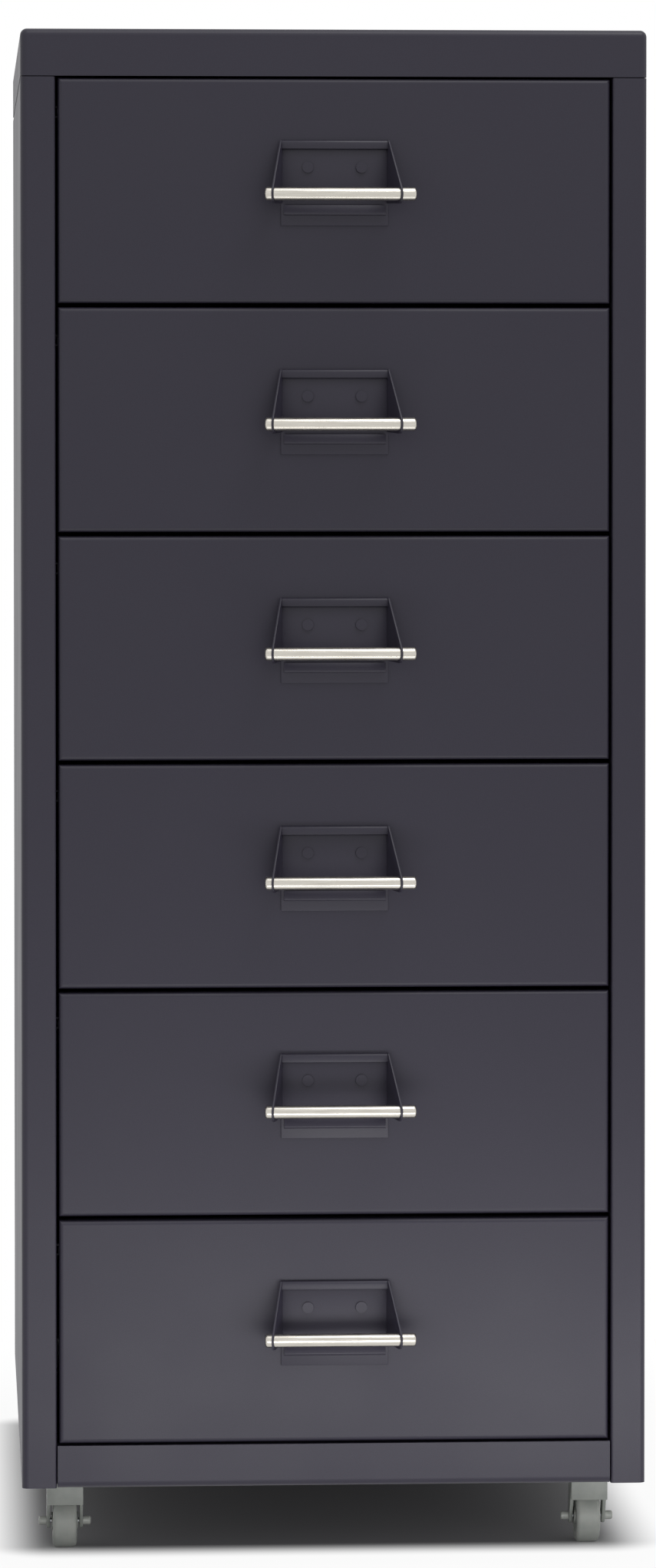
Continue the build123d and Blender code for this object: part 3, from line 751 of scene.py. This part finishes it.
# Metres past the patch by which a share of the floor is plain white, and that share.
SHADOW_FADES = ((0.035, 0.95), (0.30, 0.05))


def floor_material():
    """Pale paint that turns to plain white for the camera away from the object."""
    material = bpy.data.materials.new("white_studio_floor")
    material.use_nodes = True
    tree = material.node_tree
    tree.nodes.clear()
    paint = add(tree, "ShaderNodeBsdfDiffuse", {"Color": colour(FLOOR_PAINT)})
    plain = add(tree, "ShaderNodeEmission", {"Color": (1.0, 1.0, 1.0, 1.0), "Strength": 1.0})
    place = add(tree, "ShaderNodeTexCoord")
    sockets = {0: place.outputs["Object"], 1: SHADOW_MIDDLE}
    moved = add(tree, "ShaderNodeVectorMath", sockets, operation="SUBTRACT")
    folded = add(tree, "ShaderNodeVectorMath", {0: moved.outputs[0]}, operation="ABSOLUTE")
    past = add(tree, "ShaderNodeVectorMath", {0: folded.outputs[0], 1: SHADOW_HALF}, operation="SUBTRACT")
    sockets = {0: past.outputs[0], 1: (0.0, 0.0, 0.0)}
    outside = add(tree, "ShaderNodeVectorMath", sockets, operation="MAXIMUM")
    length = add(tree, "ShaderNodeVectorMath", {0: outside.outputs[0]}, operation="LENGTH")
    fades = []
    for reach, part in SHADOW_FADES:
        value = length.outputs["Value"]
        sockets = {"Value": value, "From Min": 0.0, "From Max": reach, "To Min": 0.0, "To Max": part}
        fade = add(tree, "ShaderNodeMapRange", sockets, interpolation_type="SMOOTHSTEP")
        fades.append(fade.outputs["Result"])
    far = add(tree, "ShaderNodeMath", {0: fades[0], 1: fades[1]}, operation="ADD")
    ray = add(tree, "ShaderNodeLightPath")
    sockets = {0: ray.outputs["Is Camera Ray"], 1: ray.outputs["Is Glossy Ray"]}
    seen = add(tree, "ShaderNodeMath", sockets, operation="MAXIMUM")
    share = add(tree, "ShaderNodeMath", {0: seen.outputs[0], 1: far.outputs[0]}, operation="MULTIPLY")
    sockets = {0: share.outputs[0], 1: paint.outputs[0], 2: plain.outputs[0]}
    mixed = add(tree, "ShaderNodeMixShader", sockets)
    add(tree, "ShaderNodeOutputMaterial", {"Surface": mixed.outputs[0]})
    return material


floor_shape = bmesh.new()
bmesh.ops.create_grid(floor_shape, x_segments=1, y_segments=1, size=FLOOR_HALF)
floor_mesh = bpy.data.meshes.new("floor")
floor_shape.to_mesh(floor_mesh)
floor_shape.free()
floor = bpy.data.objects.new("floor", floor_mesh)
floor.data.materials.append(floor_material())
bpy.context.scene.collection.objects.link(floor)
print("floor", 2 * FLOOR_HALF, "m wide")


# %% Hang the lamps
def soft_box(name, place, target, width, height, watts, spread):
    """Area lamp that faces a point. The spread is the angle, in degrees, that its light stays in."""
    lamp_data = bpy.data.lights.new(name, "AREA")
    lamp_data.shape = "RECTANGLE"
    lamp_data.size = width
    lamp_data.size_y = height
    lamp_data.energy = watts
    lamp_data.spread = math.radians(spread)
    lamp = bpy.data.objects.new(name, lamp_data)
    bpy.context.scene.collection.objects.link(lamp)
    lamp.location = place
    lamp.rotation_euler = (Vector(target) - Vector(place)).to_track_quat("-Z", "Y").to_euler()


soft_box(
    "overhead_soft_box", place=(0.45, -0.85, 2.1), target=(0.05, frame_low.y - 0.05, 0.0),
    width=0.9, height=0.9, watts=10.0, spread=180.0,
)
soft_box(
    "low_soft_box", place=(0.08, -0.47, 0.03), target=(0.02, frame_low.y, 0.14),
    width=0.6, height=0.08, watts=0.38, spread=130.0,
)
print("lamps:", len(bpy.data.lights))

# %% Light the room
FILL_LEVEL = 0.33  # brightness of the room, as the object feels it

world = bpy.data.worlds.new("studio")
bpy.context.scene.world = world
world.use_nodes = True
world_tree = world.node_tree
world_tree.nodes.clear()
white = (1.0, 1.0, 1.0, 1.0)
room = add(world_tree, "ShaderNodeBackground", {"Color": white, "Strength": FILL_LEVEL})
ground = add(world_tree, "ShaderNodeBackground", {"Color": white, "Strength": 1.0})
ray = add(world_tree, "ShaderNodeLightPath")
sockets = {0: ray.outputs["Is Camera Ray"], 1: ray.outputs["Is Glossy Ray"]}
seen = add(world_tree, "ShaderNodeMath", sockets, operation="MAXIMUM")
sockets = {0: seen.outputs[0], 1: ray.outputs["Is Transmission Ray"]}
seen = add(world_tree, "ShaderNodeMath", sockets, operation="MAXIMUM")
sockets = {0: seen.outputs[0], 1: room.outputs[0], 2: ground.outputs[0]}
mixed = add(world_tree, "ShaderNodeMixShader", sockets)
add(world_tree, "ShaderNodeOutputWorld", {"Surface": mixed.outputs[0]})
bpy.context.scene.view_settings.view_transform = "Standard"
print("room at", FILL_LEVEL)
